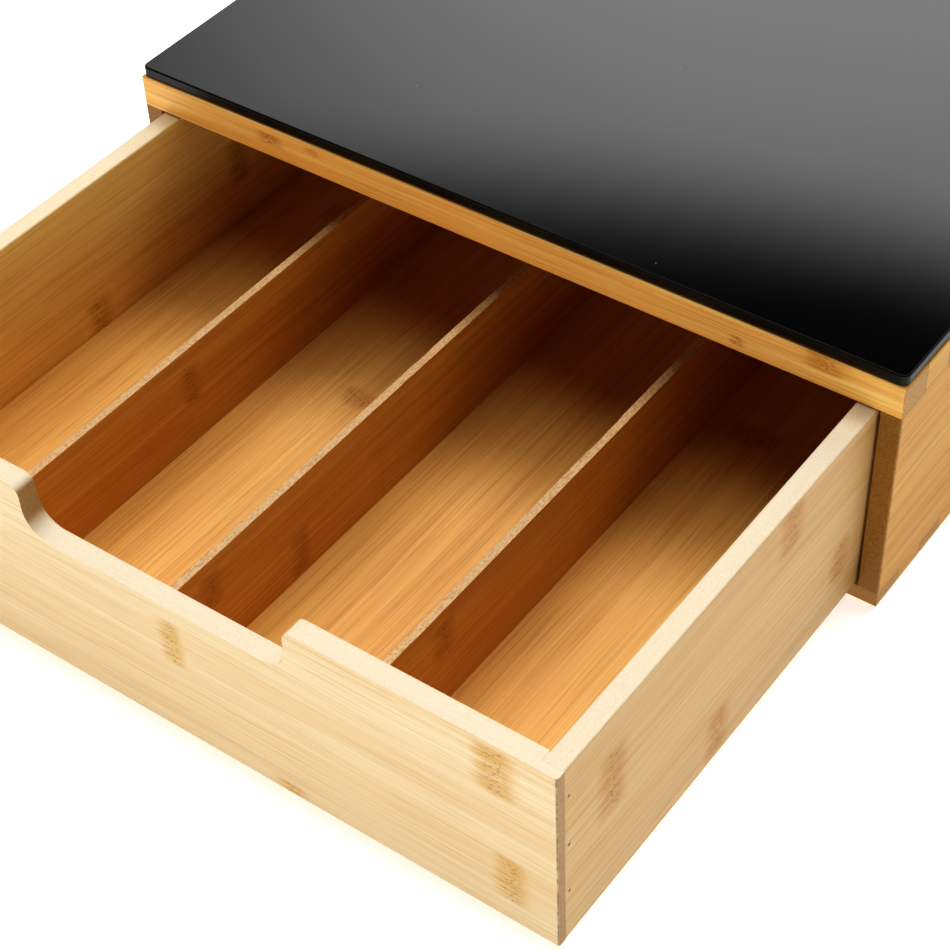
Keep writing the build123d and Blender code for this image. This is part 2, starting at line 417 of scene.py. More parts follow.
@dataclass(frozen=True)
class Bamboo:
    """Laminated bamboo: strips of cane glued side by side, planed, sanded and given a thin clear lacquer.

    The eye sees long straight fibres, a small step of tone from strip to strip, and dots on the end grain.

    Attributes:
        name: the material's name, to which each board adds its own.
        slot: the record's material slot.
        light: the paler wood. This and the other colours are sRGB hex values.
        deep: the darker wood.
        line: the fine dark lines between the fibres.
        stain: the brown of the cane's rings.
        ring: the dots in the rings and on the end grain.
        end: the end grain.
        cut: the sawn edge's colour; the golden bamboo's dark brown one is painted shade on the bottom board's
            front and back edges.
        fibre: the spacing of the fibre bundles, drawn a little coarse so that it shows.
        lines: how dark the fibres' troughs are.
        dashes: how dark the bundles are.
        strips: how much the strips differ in tone.
        streaks: how much the streaks differ.
        clouds: how much the clouds differ.
        speckle: how much the sawn edge is speckled.
        dots: how dark the end grain's dots are.
        tone: how far the wood goes from light to deep.
        burn: how dark the singed arris is.
        singed: its colour.
        ragged: how far the rings' ends run out along the fibres.
        roughness: the lacquer's roughness.
        relief: how deep the fibres' troughs are.
    """

    name: str
    slot: str
    light: str
    deep: str
    line: str
    stain: str
    ring: str
    end: str
    cut: str
    fibre: float
    lines: float
    dashes: float = 0.28
    strips: float = 1.0
    streaks: float = 2.6
    clouds: float = 2.2
    speckle: float = 0.3
    dots: float = 0.6
    tone: float = 0.9
    burn: float = 0.5
    singed: str = "5E4424"
    ragged: float = 6 * MM
    roughness: float = 0.5
    relief: float = 0.03 * MM

    def make(self, piece_name: str, grain: Grain) -> bpy.types.Material:
        """Build the material for one board.

        Args:
            piece_name: the board's name, which the material's name ends in.
            grain: how its strips lie.

        Returns:
            The material.
        """
        material, tree, shader = new_material(f"{self.name}_{piece_name}")
        where = add(tree, "TexCoord", {})
        place = add(tree, "SeparateXYZ", {0: where.outputs["Object"]})
        facing = add(tree, "SeparateXYZ", {0: where.outputs["Normal"]})
        third = next(axis for axis in Axis if axis not in (grain.along, grain.across))
        along, across, through = (place.outputs[axis.value] for axis in (grain.along, grain.across, third))

        # A slow wander of the fibres, up to about a millimetre.
        slow = add(tree, "CombineXYZ", {0: along, 1: across, 2: through})
        wander = add(tree, "TexNoise", {"Vector": slow, "Scale": 1 / WANDER_LENGTH, "Detail": 1.0})
        bent = add(tree, "Math", {0: wander, 1: WANDER, 2: across}, operation="MULTIPLY_ADD")

        # The strips, each with its own tone, and the glue between them.
        first = grain.seed * 7 - grain.edge / grain.strip
        strip_place = add(tree, "Math", {0: across, 1: 1 / grain.strip, 2: first}, operation="MULTIPLY_ADD")
        strip_number = add(tree, "Math", {0: strip_place}, operation="FLOOR")
        strip_tone = add(tree, "TexWhiteNoise", {"W": strip_number}, noise_dimensions="1D")
        off_glue = add(tree, "Math", {0: strip_place, 1: 0.5}, operation="PINGPONG")
        thin = {"From Max": GLUE_LINE / grain.strip, "To Min": 1.0, "To Max": 0.0}
        glue_line = add(tree, "MapRange", {0: off_glue, **thin})

        # Fibres, streaks and clouds. Each strip starts its own.
        shift = add(tree, "Math", {0: strip_tone, 1: STRIP_START, 2: grain.seed}, operation="MULTIPLY_ADD")
        started = add(tree, "Math", {0: along, 1: shift}, operation="ADD")
        run = add(tree, "CombineXYZ", {0: started, 1: bent, 2: through})
        fibres, streaks, clouds = (
            add(
                tree,
                "TexNoise",
                {"Vector": self.stretch(tree, run, size), "Scale": 1.0, "Detail": detail, "Roughness": 0.6},
            )
            for size, detail in (((FIBRE_LENGTH, self.fibre), 3.0), (STREAK, 2.0), (CLOUD, 1.0))
        )
        bundles = add(tree, "TexVoronoi", {"Vector": self.stretch(tree, run, BUNDLE), "Scale": 1.0})
        dashes = add(
            tree, "MapRange", {0: bundles, "From Min": 0.08, "From Max": 0.28, "To Min": 1.0, "To Max": 0.0}
        )

        # Tone of the wood: strip, streak and cloud together, each about its middle.
        tone = add(
            tree, "Math", {0: strip_tone, 1: self.strips, 2: (1 - self.strips) / 2}, operation="MULTIPLY_ADD"
        )
        for layer, share in ((streaks, self.streaks), (clouds, self.clouds)):
            centred = add(tree, "Math", {0: layer, 1: share, 2: -share / 2}, operation="MULTIPLY_ADD")
            tone = add(tree, "Math", {0: tone, 1: centred}, operation="ADD")
        reach = {"To Min": 0.5 - self.tone / 2, "To Max": 0.5 + self.tone / 2}
        toned = add(tree, "MapRange", {0: tone, "From Min": -0.2, "From Max": 1.2, **reach})
        wood = add(tree, "Mix", {0: toned, 6: linear(self.light), 7: linear(self.deep)}, data_type="RGBA")

        # Fine dark lines: the fibres' troughs, the bundles and the glue.
        troughs = add(tree, "MapRange", {0: fibres, "From Min": 0.49, "From Max": 0.66, "To Max": self.lines})
        dark_dashes = add(tree, "Math", {0: dashes, 1: self.dashes}, operation="MULTIPLY")
        drawn = add(tree, "Math", {0: troughs, 1: dark_dashes}, operation="MAXIMUM")
        with_glue = {0: glue_line, 1: self.lines * 0.5, 2: drawn}
        glued = add(tree, "Math", with_glue, operation="MULTIPLY_ADD", use_clamp=True)
        lined = add(tree, "Mix", {0: glued, 6: wood, 7: linear(self.line)}, data_type="RGBA")
        ringed = self.rings(tree, grain, along, bent, run, lined)

        # End grain is darker, because it drinks the lacquer, and shows the bundles as dots.
        dots = add(tree, "MapRange", {0: fibres, "From Min": 0.44, "From Max": 0.6, "To Max": self.dots})
        dotted = add(tree, "Mix", {0: dots, 6: linear(self.end), 7: linear(self.ring)}, data_type="RGBA")
        end_share = add(tree, "Math", {0: facing.outputs[grain.along.value]}, operation="ABSOLUTE")
        at_end = add(tree, "MapRange", {0: end_share, "From Min": 0.6, "From Max": 0.92})
        ended = add(tree, "Mix", {0: at_end, 6: ringed, 7: dotted}, data_type="RGBA")
        tint = {0: 1.0, 6: ended, 7: linear(grain.tint)}
        colour = add(tree, "Mix", tint, data_type="RGBA", blend_type="MULTIPLY")
        colour = self.burnt_arris(tree, grain, end_share, place, colour)
        if grain.cut_edge:
            colour = self.sawn_edge_and_shade(tree, facing.outputs[grain.cut_edge.value], run, colour)

        sheen = {"To Min": self.roughness - 0.08, "To Max": self.roughness + 0.12}
        rough = add(tree, "MapRange", {0: fibres, **sheen})
        bump = add(tree, "Bump", {"Height": drawn, "Distance": self.relief, "Strength": 0.6}, invert=True)
        feed(tree, shader, {"Base Color": colour, "Roughness": rough, "Normal": bump, "IOR": 1.5})
        return material

    def stretch(self, tree: Tree, run: Node, size: tuple[float, float]) -> Node:
        """Scale the fibres' own coordinates, so that a pattern gets its length and width."""
        length, width = size
        return add(tree, "VectorMath", {0: run, 1: (1 / length, 1 / width, 1 / width)}, operation="MULTIPLY")

    def burnt_arris(self, tree: Tree, grain: Grain, end_share: Node, place: Node, colour: Node) -> Node:
        """Darken the arris at the end grain in a thin, ragged line, where the saw has singed it.

        Args:
            tree: the material's node tree.
            grain: how the board's strips lie.
            end_share: how much the surface faces along the fibres, without its sign.
            place: the node that gives the three coordinates.
            colour: the colour so far.

        Returns:
            The colour with the singed line.
        """
        off_line = add(tree, "Math", {0: end_share, 1: 0.55}, operation="SUBTRACT")
        away = add(tree, "Math", {0: off_line}, operation="ABSOLUTE")
        fade = {"From Min": 0.12, "From Max": 0.32, "To Min": self.burn, "To Max": 0.0}
        band = add(tree, "MapRange", {0: away, **fade})
        spot = add(tree, "CombineXYZ", {index: place.outputs[index] for index in range(3)})
        nibbles = add(tree, "TexNoise", {"Vector": spot, "Scale": 1 / SINGE_GRIT, "Detail": 3.0})
        uneven = add(tree, "MapRange", {0: nibbles, "From Min": 0.35, "From Max": 0.6, "To Min": 0.4})
        off_middle = add(tree, "Math", {0: place.outputs[grain.along.value]}, operation="ABSOLUTE")
        sawn = add(tree, "Math", {0: off_middle, 1: grain.clean}, operation="GREATER_THAN")
        kept = add(tree, "Math", {0: band, 1: sawn}, operation="MULTIPLY")
        singed = add(tree, "Math", {0: kept, 1: uneven}, operation="MULTIPLY")
        return add(tree, "Mix", {0: singed, 6: colour, 7: linear(self.singed)}, data_type="RGBA")

    def rings(self, tree: Tree, grain: Grain, along: Socket, across: Node, run: Node, colour: Node) -> Node:
        """Lay the cane's rings over the wood's colour.

        Args:
            tree: the material's node tree.
            grain: the board's strips, with its marks.
            along: the place along the fibres.
            across: the place across them.
            run: the place in the fibres' own directions.
            colour: the wood's colour.

        Returns:
            The colour with the rings on it.
        """
        if not grain.marks:
            return colour
        rag_place = self.stretch(tree, run, RING_RAG)
        rag = add(tree, "TexNoise", {"Vector": rag_place, "Scale": 1.0, "Detail": 2.0})
        swayed = add(tree, "Math", {0: rag, 1: self.ragged, 2: along}, operation="MULTIPLY_ADD")
        rings: list[Node] = []
        for mark in grain.marks:
            middle = mark.along + self.ragged / 2
            strip = self.near(tree, across, mark.across + WANDER / 2, mark.width * 0.4, mark.width * 0.56)
            ring = [
                add(
                    tree,
                    "Math",
                    {0: self.near(tree, swayed, middle, mark.length * full, mark.length * none), 1: strip},
                    operation="MULTIPLY",
                )
                for full, none in ((0.25, 0.85), (0.08, 0.42))
            ]
            rings = [
                add(tree, "Math", {0: old, 1: new}, operation="MAXIMUM") for old, new in zip(rings, ring)
            ] or ring
        field, core = rings
        specks = add(tree, "TexVoronoi", {"Vector": self.stretch(tree, run, RING_SPECK), "Scale": 1.0})
        dotted = add(
            tree, "MapRange", {0: specks, "From Min": 0.12, "From Max": 0.42, "To Min": 1.0, "To Max": 0.0}
        )
        patchy = add(tree, "MapRange", {0: rag, "From Min": 0.35, "From Max": 0.65, "To Min": 0.35})
        for pattern, where, brown in ((patchy, field, self.stain), (dotted, core, self.ring)):
            full = add(tree, "Math", {0: pattern, 1: where}, operation="MULTIPLY")
            share = add(tree, "Math", {0: full, 1: 0.8}, operation="MULTIPLY")
            colour = add(tree, "Mix", {0: share, 6: colour, 7: linear(brown)}, data_type="RGBA")
        return colour

    def near(self, tree: Tree, place: Node, middle: float, full: float, none: float) -> Node:
        """Say how near a place is to a line, from 1 on it to 0 away from it.

        Args:
            tree: the material's node tree.
            place: the place on one axis.
            middle: where the line lies on it.
            full: the distance up to which the share is 1.
            none: the distance from which it is 0.

        Returns:
            The share.
        """
        offset = add(tree, "Math", {0: place, 1: middle}, operation="SUBTRACT")
        away = add(tree, "Math", {0: offset}, operation="ABSOLUTE")
        fade = {"From Min": full, "From Max": none, "To Min": 1.0, "To Max": 0.0}
        return add(tree, "MapRange", {0: away, **fade}, interpolation_type="SMOOTHSTEP")

    def sawn_edge_and_shade(self, tree: Tree, facing: Socket, run: Node, colour: Node) -> Node:
        """Give the board's long sawn edges their speckled colour: paler and drier in the pale bamboo and the
        ply, and in the golden bamboo a dark brown that is painted shade.

        Args:
            tree: the material's node tree.
            facing: how much the surface faces along the edge's axis.
            run: the place in the fibres' own directions.
            colour: the colour of the faces.

        Returns:
            The colour with the edges in it.
        """
        share = add(tree, "Math", {0: facing}, operation="ABSOLUTE")
        mask = add(tree, "MapRange", {0: share, "From Min": 0.45, "From Max": 0.85, "To Max": 0.85})
        grit_place = self.stretch(tree, run, SAW_SPECK)
        grit = add(tree, "TexNoise", {"Vector": grit_place, "Scale": 1.0, "Detail": 2.0})
        specks = add(tree, "MapRange", {0: grit, "From Min": 0.42, "From Max": 0.66, "To Max": self.speckle})
        # In the golden bamboo this edge colour is dark: painted shade on the bottom board's edges.
        pale = add(tree, "Mix", {0: specks, 6: linear(self.cut), 7: linear(self.line)}, data_type="RGBA")
        return add(tree, "Mix", {0: mask, 6: colour, 7: pale}, data_type="RGBA")


PALE_BAMBOO = Bamboo(
    name="pale_lacquered_bamboo",
    slot="pale_bamboo",
    light="E6D8B8",
    deep="D3B27D",
    line="C0954C",
    stain="C4922E",
    ring="7E5422",
    end="AB8A5C",
    cut="E4D7BE",
    fibre=0.5 * MM,
    lines=0.42,
    dashes=0.55,
    strips=0.6,
    streaks=2.0,
    clouds=0.9,
    speckle=0.12,
    dots=0.4,
    tone=0.56,
    burn=0.8,
)
# A warmer, more golden copy of the pale bamboo for the drawer's left side wall: painted shade, the colour
# that shade and light bounced off the golden floor give its inner face.
SHADED_PALE_BAMBOO = replace(PALE_BAMBOO, name="pale_lacquered_bamboo_painted_shade", light="FADC90", deep="EABB60")
GOLDEN_BAMBOO = Bamboo(
    name="golden_lacquered_bamboo",
    slot="golden_bamboo",
    light="F1CD80",
    deep="E2A954",
    line="B07430",
    stain="B8792C",
    ring="7C501C",
    end="B2883A",
    # A dark brown for the sawn edges: painted shade, which darkens the bottom board's front and back edges as
    # if they were in shadow near the floor.
    cut="80581E",
    fibre=0.5 * MM,
    lines=0.5,
)
BAMBOO_PLY = Bamboo(
    name="sanded_bamboo_ply",
    slot="bamboo_ply",
    light="ECBC6B",
    deep="D09345",
    line="8C5222",
    stain="BA7E30",
    ring="865020",
    end="9A6E3C",
    cut="D2B080",
    fibre=0.45 * MM,
    lines=0.3,
    dashes=0.4,
    speckle=0.5,
    tone=0.6,
)


@dataclass(frozen=True)
class BlackGlass:
    """Float glass painted black underneath, so that it is as good as opaque: a deep, slightly soft mirror.

    Attributes:
        name: the materials' name, to which the face and the edge add their own.
        slot: the record's material slot.
        body: the black. This and the other colours are sRGB hex values.
        dust: the specks of dust on the face.
        edge: the lighter marks of the grinding wheel on the edge.
        dust_spacing: how far apart the specks may lie.
        smear: the size of the faint smears in the polish.
        wheel: the size of the grinding marks.
    """

    name: str = "black_float_glass"
    slot: str = "black_glass"
    body: str = "050505"
    dust: str = "8C8C88"
    edge: str = "141515"
    dust_spacing: float = 11 * MM
    smear: float = 60 * MM
    wheel: float = 0.6 * MM

    def make_face(self) -> bpy.types.Material:
        """Build the polished face, with a few specks of dust some 0.3 mm across.

        Returns:
            The material.
        """
        material, tree, shader = new_material(f"{self.name}_polished")
        where = add(tree, "TexCoord", {}).outputs["Object"]
        cells = add(tree, "TexVoronoi", {"Vector": where, "Scale": 1 / self.dust_spacing})
        speck = add(
            tree, "MapRange", {0: cells, "From Min": 0.012, "From Max": 0.028, "To Min": 1.0, "To Max": 0.0}
        )
        chance = add(tree, "SeparateColor", {0: cells.outputs["Color"]})
        few = add(tree, "Math", {0: chance, 1: 0.8}, operation="GREATER_THAN")
        dusty = add(tree, "Math", {0: speck, 1: few}, operation="MULTIPLY")
        colour = add(tree, "Mix", {0: dusty, 6: linear(self.body), 7: linear(self.dust)}, data_type="RGBA")
        smears = add(tree, "TexNoise", {"Vector": where, "Scale": 1 / self.smear, "Detail": 2.0})
        rough = add(tree, "MapRange", {0: smears, "To Min": 0.05, "To Max": 0.09})
        feed(tree, shader, {"Base Color": colour, "Roughness": rough, "IOR": 1.5})
        return material

    def make_edge(self) -> bpy.types.Material:
        """Build the ground edge, which is satin and a little greyer, with fine marks of the wheel.

        Returns:
            The material.
        """
        material, tree, shader = new_material(f"{self.name}_ground")
        where = add(tree, "TexCoord", {}).outputs["Object"]
        wheel = add(tree, "TexNoise", {"Vector": where, "Scale": 1 / self.wheel, "Detail": 2.0})
        colour = add(tree, "Mix", {0: wheel, 6: linear(self.body), 7: linear(self.edge)}, data_type="RGBA")
        rough = add(tree, "MapRange", {0: wheel, "To Min": 0.28, "To Max": 0.42})
        gloss = {"Specular IOR Level": 0.3, "IOR": 1.5}
        feed(tree, shader, {"Base Color": colour, "Roughness": rough, **gloss})
        return material


@dataclass(frozen=True)
class SmallPart:
    """A plain finish of a piece that hardly shows: drawn steel wire, or dark rubbery adhesive.

    Attributes:
        name: the material's name.
        slot: the record's material slot.
        light: its lighter sRGB hex colour.
        dark: its darker one.
        grain: the size of its mottling.
        metallic: 1 for bare metal, less where it is tarnished.
        roughness: its middle roughness.
    """

    name: str
    slot: str
    light: str
    dark: str
    grain: float
    metallic: float
    roughness: float

    def make(self) -> bpy.types.Material:
        """Build the material, mottled at the size of its grain.

        Returns:
            The material.
        """
        material, tree, shader = new_material(self.name)
        where = add(tree, "TexCoord", {}).outputs["Object"]
        mottle = add(tree, "TexNoise", {"Vector": where, "Scale": 1 / self.grain, "Detail": 3.0})
        colour = add(tree, "Mix", {0: mottle, 6: linear(self.light), 7: linear(self.dark)}, data_type="RGBA")
        rough = add(
            tree, "MapRange", {0: mottle, "To Min": self.roughness - 0.1, "To Max": self.roughness + 0.1}
        )
        feed(tree, shader, {"Base Color": colour, "Roughness": rough, "Metallic": self.metallic})
        return material


BRAD_WIRE = SmallPart("drawn_steel_wire", "brad_steel", "6E5138", "3A2A1C", 0.5 * MM, 0.8, 0.5)
ADHESIVE = SmallPart("cured_adhesive", "adhesive", "2A2A2A", "151515", 1.5 * MM, 0.0, 0.7)


def dress(piece: Piece, body: str, finish: Bamboo, grain: Grain, *nodes: str) -> None:
    """Give a wooden piece its bamboo, its body and the CAD nodes that it stands for.

    Args:
        piece: the finished piece.
        body: the CAD body that it rides on.
        finish: its bamboo.
        grain: how its strips lie.
        *nodes: the CAD nodes that it replaces.
    """
    piece.data.materials.clear()
    piece.data.materials.append(finish.make(piece.name, grain))
    ride_for(piece, body, finish.slot, *nodes)


def ride_for(piece: Piece, body: str, slot: str, *nodes: str) -> None:
    """Let a piece ride on a body and stand for CAD nodes, and log it."""
    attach(piece, body)
    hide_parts(*nodes)
    LOG.info("%s: %d faces, rides on %s", piece.name, len(piece.data.polygons), body)


# ---------------------------------------------------------------------------------------------- cabinet


@dataclass
class Cabinet:
    """The finger-jointed case: two boards, two side panels, a back panel and the glass top.

    Attributes:
        fingers: how many fingers share each long edge.
        arris: the radius of the eased outer edges.
        foot: the rounder edges that it stands on.
        glass_corner: the radius of the glass's corners.
        glass_chamfer: the ground arris of the glass.
    """

    fingers: int = 19
    arris: float = 0.8 * MM
    foot: float = 3 * MM
    glass_corner: float = 3 * MM
    glass_chamfer: float = 0.5 * MM

    def __post_init__(self) -> None:
        """Read the case's outer faces and its boards' inner ones from the frame."""
        self.low, self.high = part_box("left_side_panel")
        self.high.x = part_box("right_side_panel")[1].x
        self.side_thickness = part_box("left_side_panel")[1].x - self.low.x
        self.inner_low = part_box("bottom_board")[1].z
        self.inner_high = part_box("top_board")[0].z
        self.finger = (self.high.y - self.low.y) / self.fingers

    def finger_lines(self) -> list[float]:
        """The places along the depth where one finger ends and the next begins."""
        return [self.low.y + index * self.finger for index in range(1, self.fingers)]

    def is_board_finger(self, at: Vector) -> bool:
        """Tell whether the boards, and not the side panels, have the finger at a place."""
        return int((at.y - self.low.y) / self.finger) % 2 == 0

    def outsides(self, at: Vector) -> list[bool]:
        """Tell whether a place lies on the case's outer faces across X, and on those across Y."""
        return [min(abs(at[a] - self.low[a]), abs(at[a] - self.high[a])) < NEAR for a in (0, 1)]

    def ease_outside(self, board: Board) -> None:
        """Round the edges of a board that are edges of the whole case."""
        board.ease(self.foot, lambda at: any(self.outsides(at)) and abs(at.z - self.low.z) < NEAR, 6)
        board.ease(self.arris, lambda at: any(self.outsides(at)) and abs(at.z - self.high.z) < NEAR)
        board.ease(self.arris, lambda at: all(self.outsides(at)))

    def add_board(self, node: str, grain: Grain) -> None:
        """Model the top or the bottom board: a slab with a gap for every finger of the side panels."""
        board = Board.from_box(f"cabinet_{node}", node, Axis.Z)
        inner = (self.low.x + self.side_thickness, self.high.x - self.side_thickness)
        board.score(Axis.X, inner)
        board.score(Axis.Y, self.finger_lines())
        board.trim(lambda at: not inner[0] < at.x < inner[1] and not self.is_board_finger(at))
        low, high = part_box(node)
        board.pull(high.z - low.z)
        board.weld()
        self.ease_outside(board)
        dress(board.finish(), "cabinet", GOLDEN_BAMBOO, grain, node)

    def add_side_panel(self, node: str, grain: Grain) -> None:
        """Model a side panel: full height, with a gap for every finger of the two boards."""
        panel = Board.from_box(f"cabinet_{node}", node, Axis.X)
        panel.score(Axis.Z, (self.inner_low, self.inner_high))
        panel.score(Axis.Y, self.finger_lines())
        panel.trim(lambda at: not self.inner_low < at.z < self.inner_high and self.is_board_finger(at))
        panel.pull(self.side_thickness)
        panel.weld()
        self.ease_outside(panel)
        dress(panel.finish(), "cabinet", GOLDEN_BAMBOO, grain, node)

    def add_back_panel(self) -> None:
        """Model the back panel, glued in flush with the rear edges."""
        panel = Board.from_box("cabinet_back_panel", "back_panel", Axis.Y)
        low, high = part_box("back_panel")
        panel.pull(high.y - low.y)
        marks = marks_at((-88, 78, 11), (52, 55, 10), (118, 31, 12))
        grain = Grain(Axis.X, Axis.Z, 67 * MM, 4.3, marks=marks, tint="BCB09A")
        dress(panel.finish(0.25 * MM), "cabinet", GOLDEN_BAMBOO, grain, "back_panel")

    def add_glass(self) -> None:
        """Model the glass: rounded corners and ground arrises, with its edge as a finish of its own."""
        glass = Board.from_box("glass_plate", "glass_top", Axis.Z)
        low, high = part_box("glass_top")
        glass.round_corners(self.glass_corner, lambda at: True, 10)
        glass.pull(high.z - low.z)
        glass.ease(self.glass_chamfer, lambda at: min(at.z - low.z, high.z - at.z) < NEAR, 1)
        plate = glass.finish(0.1 * MM)
        finish = BlackGlass()
        plate.data.materials.append(finish.make_face())
        plate.data.materials.append(finish.make_edge())
        for face in plate.data.polygons:
            face.material_index = 0 if abs(face.normal.z) > 0.99 else 1
        ride_for(plate, "cabinet", finish.slot, "glass_top")

    def build(self, nodes: dict[str, Piece]) -> None:
        """Build and dress the whole cabinet.

        Args:
            nodes: the CAD nodes, of which the adhesive pads stay.
        """
        top_marks = marks_at((136, 101, 13, 7), (102, 95.5, 5, 4), (-101, 98.5, 10, 5), (-81, 100.5, 6, 3))
        self.add_board("top_board", Grain(Axis.X, Axis.Z, 98 * MM, 1.1, 6.4 * MM, top_marks))
        bottom_marks = marks_at((-60, 4, 10, 9), (92, 4, 9, 9))
        # Its front and back edges take the golden bamboo's dark sawn-edge colour, which is painted shade.
        self.add_board("bottom_board", Grain(Axis.X, Axis.Y, 0.0, 2.7, marks=bottom_marks, cut_edge=Axis.Y))
        for node, seed, marks in (
            ("left_side_panel", 3.9, marks_at((-92, 72, 10), (-10, 34), (96, 57))),
            ("right_side_panel", 5.2, marks_at((24, 66, 11), (108, 42, 10))),
        ):
            # The side panels' tint makes them darker and more golden than the top and bottom boards: painted
            # shade for the faces at the sides.
            self.add_side_panel(node, Grain(Axis.Y, Axis.Z, 54 * MM, seed, marks=marks, tint="D6C78E"))
        self.add_back_panel()
        self.add_glass()
        pads = nodes["glass_adhesive_pads"]
        pads.data.materials.clear()
        pads.data.materials.append(ADHESIVE.make())
        LOG.info("glass_adhesive_pads: the CAD node stays, in cured adhesive")


# ---------------------------------------------------------------------------------------------- drawer


@dataclass
class Drawer:
    """The drawer: four rabbeted walls, a floor in grooves, three dividers in dadoes and corner brads.

    Attributes:
        notch_width: the finger notch, from side to side.
        notch_depth: how far it goes down from the rim.
        notch_floor_radius: its two lower corners.
        notch_rim_radius: its two upper corners.
        rim: the eased rim.
        corner: the eased upright corners.
        foot: the eased lower edges.
        groove: the depth of the floor's grooves.
        dado: the depth of the dividers' dadoes.
        brad_length: the length of a brad.
        brad_dome: how far its head stands out in the middle, as a share of its radius.
        brad_flat: how far from the head's rim that dome starts, as a share of its radius.
        brad_tip: how thick its point is, as a share of its radius.
        chip_spacing: how far apart the rough sawn edge of a divider is nibbled.
        chip_depth: how deep the deepest chip is.
        divider_arris: the eased upper arrises of a divider.
    """

    notch_width: float = 110 * MM
    notch_depth: float = 19.7 * MM
    notch_floor_radius: float = 10 * MM
    notch_rim_radius: float = 4 * MM
    rim: float = 0.8 * MM
    corner: float = 1.0 * MM
    foot: float = 0.5 * MM
    groove: float = 3 * MM
    dado: float = 2 * MM
    brad_length: float = 15 * MM
    brad_dome: float = 0.12
    brad_flat: float = 0.35
    brad_tip: float = 0.25
    chip_spacing: float = 1.1 * MM
    chip_depth: float = 0.35 * MM
    divider_arris: float = 0.3 * MM

    def __post_init__(self) -> None:
        """Read the drawer's faces from the frame."""
        self.low, self.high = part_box("drawer_front")
        self.high.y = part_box("drawer_back")[1].y
        side_low, side_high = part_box("drawer_left_side")
        self.wall = side_high.x - side_low.x
        self.lip = side_low.y - self.low.y
        self.inner_x = self.high.x - self.wall
        self.inner_y = (self.low.y + self.wall, self.high.y - self.wall)
        self.floor_z = (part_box("drawer_floor")[0].z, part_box("drawer_floor")[1].z)
        self.dividers = {name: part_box(name) for name in ("left_divider", "middle_divider", "right_divider")}
        self.notch_z = self.high.z - self.notch_depth

    def is_groove(self, at: Vector) -> bool:
        """Tell whether a place is at the height of the floor's grooves."""
        return self.floor_z[0] < at.z < self.floor_z[1]

    def is_dado(self, at: Vector) -> bool:
        """Tell whether a place is in front of a divider's end."""
        return any(low.x < at.x < high.x and low.z < at.z < high.z for low, high in self.dividers.values())

    def add_end_wall(self, node: str, inward: int, grain: Grain, has_notch: bool) -> None:
        """Model the front or the back wall, rabbeted over the ends of the sides.

        Args:
            node: the CAD node.
            inward: +1 if the inside lies towards +Y, else -1.
            grain: how its strips lie.
            has_notch: whether it has the finger notch.
        """
        outer_y = self.low.y if inward > 0 else self.high.y
        wall = Board.from_box(node.replace("drawer_", "drawer_wall_"), node, Axis.Y, inward)
        half_notch = self.notch_width / 2
        if has_notch:
            wall.score(Axis.X, (-half_notch, half_notch))
            wall.score(Axis.Z, (self.notch_z,))
            wall.trim(lambda at: abs(at.x) < half_notch and at.z > self.notch_z)
            wall.weld()
            corners = ((self.notch_z, self.notch_floor_radius), (self.high.z, self.notch_rim_radius))
            for z, radius in corners:
                wall.round_corners(
                    radius, lambda at, z=z: abs(abs(at.x) - half_notch) < NEAR and abs(at.z - z) < NEAR, 10
                )
        wall.score(Axis.X, (-self.inner_x, self.inner_x))
        for low, high in self.dividers.values():
            wall.score(Axis.X, (low.x, high.x))
        wall.score(Axis.Z, (*self.floor_z, self.dividers["middle_divider"][1].z))
        wall.pull(self.lip)
        wall.pull(self.wall - self.lip - self.groove, lambda at: abs(at.x) < self.inner_x)
        wall.pull(self.groove - self.dado, lambda at: abs(at.x) < self.inner_x and not self.is_groove(at))
        wall.pull(self.dado, lambda at: not self.is_dado(at))
        wall.weld()
        wall.ease(self.corner, lambda at: abs(at.y - outer_y) < NEAR and self.high.x - abs(at.x) < NEAR)
        lowest_rim = (self.notch_z if has_notch else self.high.z) - NEAR
        inner_y = outer_y + inward * self.wall
        wall.ease(
            self.rim,
            lambda at: at.z > lowest_rim and min(abs(at.y - outer_y), abs(at.y - inner_y)) < NEAR,
        )
        wall.ease(self.foot, lambda at: at.z - self.low.z < NEAR and abs(at.y - outer_y) < NEAR)
        dress(wall.finish(), "drawer", PALE_BAMBOO, grain, node)

    def add_side_wall(self, node: str, outward: int, grain: Grain, finish: Bamboo) -> None:
        """Model a side wall, grooved for the floor, with the holes that its brads were driven into.

        Args:
            node: the CAD node.
            outward: +1 for the right side, -1 for the left one.
            grain: how its strips lie.
            finish: its bamboo.
        """
        outer_x = outward * self.high.x
        wall = Board.from_box(node.replace("drawer_", "drawer_wall_"), node, Axis.X, -outward)
        wall.score(Axis.Z, self.floor_z)
        wall.score(Axis.Y, self.inner_y)
        wall.pull(self.wall - self.groove)
        wall.pull(self.groove, lambda at: not self.is_groove(at))
        wall.ease(self.rim, lambda at: self.high.z - at.z < NEAR and abs(at.x - outer_x) < NEAR)
        wall.ease(
            self.rim,
            lambda at: self.high.z - at.z < NEAR
            and abs(abs(at.x) - self.inner_x) < NEAR
            and self.inner_y[0] < at.y < self.inner_y[1],
        )
        wall.ease(self.foot, lambda at: at.z - self.low.z < NEAR and abs(at.x - outer_x) < NEAR)
        side = wall.finish()
        self.drill(side, outer_x)
        dress(side, "drawer", finish, grain, node)

    def brad_places(self) -> list[Vector]:
        """The middles of the brads, read from the CAD nodes' own solids."""
        places = []
        for node in ("drawer_front_brads", "drawer_back_brads"):
            low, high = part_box(node)
            radius = (high.y - low.y) / 2
            heights = (low.z + radius, (low.z + high.z) / 2, high.z - radius)
            places += [Vector((high.x, (low.y + high.y) / 2, height)) for height in heights]
        return places

